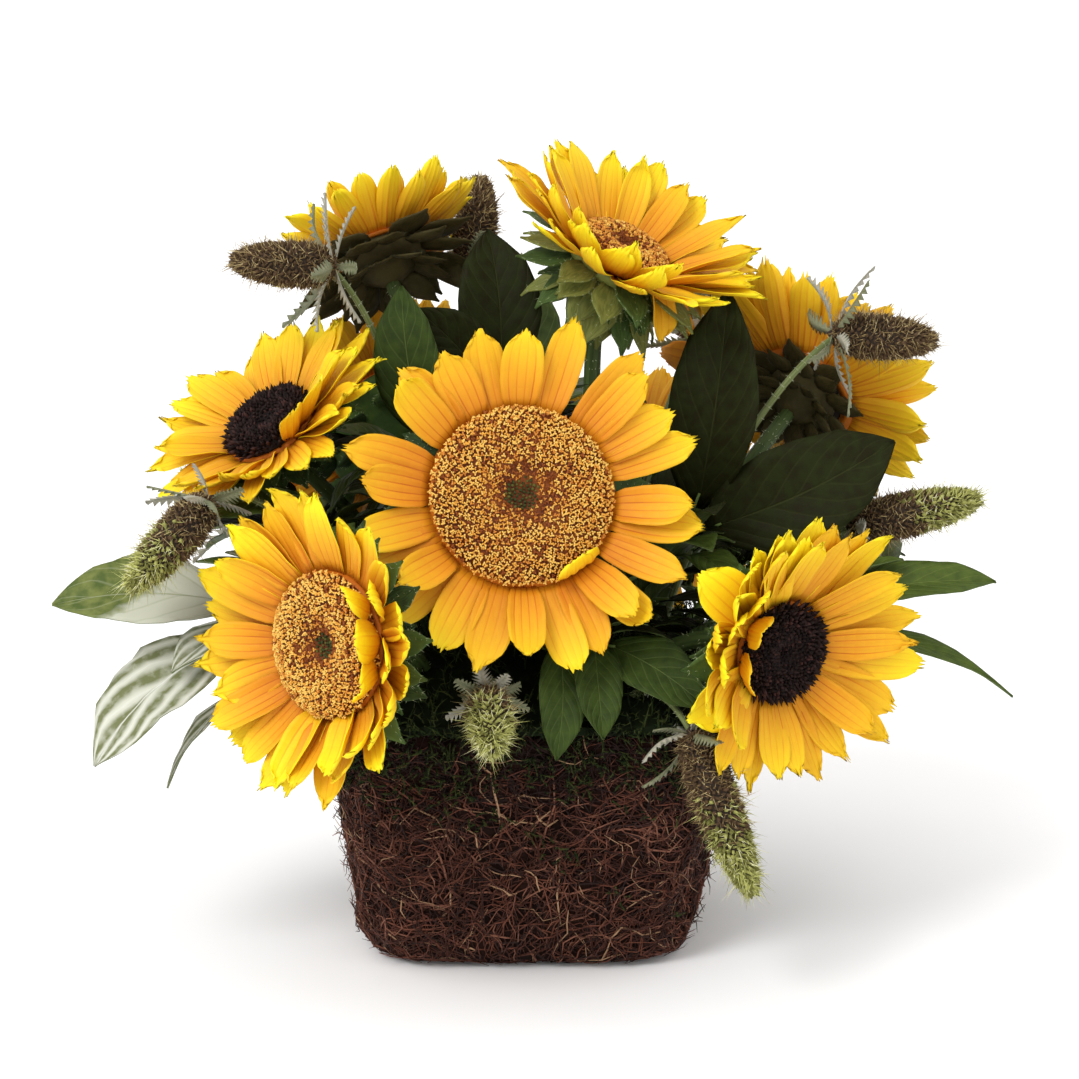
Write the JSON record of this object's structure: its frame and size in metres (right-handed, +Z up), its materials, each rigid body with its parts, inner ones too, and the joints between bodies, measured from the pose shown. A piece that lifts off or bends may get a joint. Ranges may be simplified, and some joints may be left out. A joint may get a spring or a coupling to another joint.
{
  "type": "sunflower arrangement in a root basket",
  "caption": "Full bouquet of sunflowers, sea hollies and leafy sprays standing in moss and foam in a square basket of matted roots.",
  "frame": {"origin": "middle of the basket's flat underside, which stands on the surface below", "axes": "+Z up, -Y towards the arrangement's front, +X to the right as seen from the front"},
  "size_m": [0.359, 0.2876, 0.3038],
  "materials": {
    "root_basket": "matte",
    "wet_foam": "matte",
    "moss": "matte",
    "stem_green": "satin",
    "calyx_green": "matte",
    "petal_yellow": "satin",
    "disk_tan": "matte",
    "disk_brown": "matte",
    "holly_silver": "matte",
    "leaf_green": "satin"
  },
  "bodies": {
    "root": {"basket_wall": "root_basket", "foam_block": "wet_foam", "moss_mound": "moss", "stem_front": "stem_green", "calyx_front": "calyx_green", "petals_front": "petal_yellow", "disk_front": "disk_tan", "stem_low_left": "stem_green", "calyx_low_left": "calyx_green", "petals_low_left": "petal_yellow", "disk_low_left": "disk_tan", "stem_low_right": "stem_green", "calyx_low_right": "calyx_green", "petals_low_right": "petal_yellow", "disk_low_right": "disk_brown", "stem_mid_left": "stem_green", "calyx_mid_left": "calyx_green", "petals_mid_left": "petal_yellow", "disk_mid_left": "disk_brown", "stem_top_left": "stem_green", "calyx_top_left": "calyx_green", "petals_top_left": "petal_yellow", "disk_top_left": "disk_tan", "stem_top": "stem_green", "calyx_top": "calyx_green", "petals_top": "petal_yellow", "disk_top": "disk_tan", "stem_right": "stem_green", "calyx_right": "calyx_green", "petals_right": "petal_yellow", "disk_right": "disk_brown", "stem_back_left": "stem_green", "calyx_back_left": "calyx_green", "petals_back_left": "petal_yellow", "disk_back_left": "disk_tan", "stem_back_right": "stem_green", "calyx_back_right": "calyx_green", "petals_back_right": "petal_yellow", "disk_back_right": "disk_brown", "sea_holly_upper_left": "holly_silver", "sea_holly_upper_right": "holly_silver", "sea_holly_mid_right": "holly_silver", "sea_holly_mid_left": "holly_silver", "sea_holly_low_front": "holly_silver", "sea_holly_low_right": "holly_silver", "sea_holly_top_middle": "holly_silver", "sea_holly_back_left": "holly_silver", "sea_holly_back_right": "holly_silver", "leaves_left": "leaf_green", "leaves_mid_left": "leaf_green", "leaves_upper_left": "leaf_green", "leaves_upper_middle": "leaf_green", "leaves_upper_right": "leaf_green", "leaves_right": "leaf_green", "leaves_low_front": "leaf_green", "leaves_back_left": "leaf_green", "leaves_back_middle": "leaf_green", "leaves_back_right": "leaf_green"}
  },
  "joints": []
}
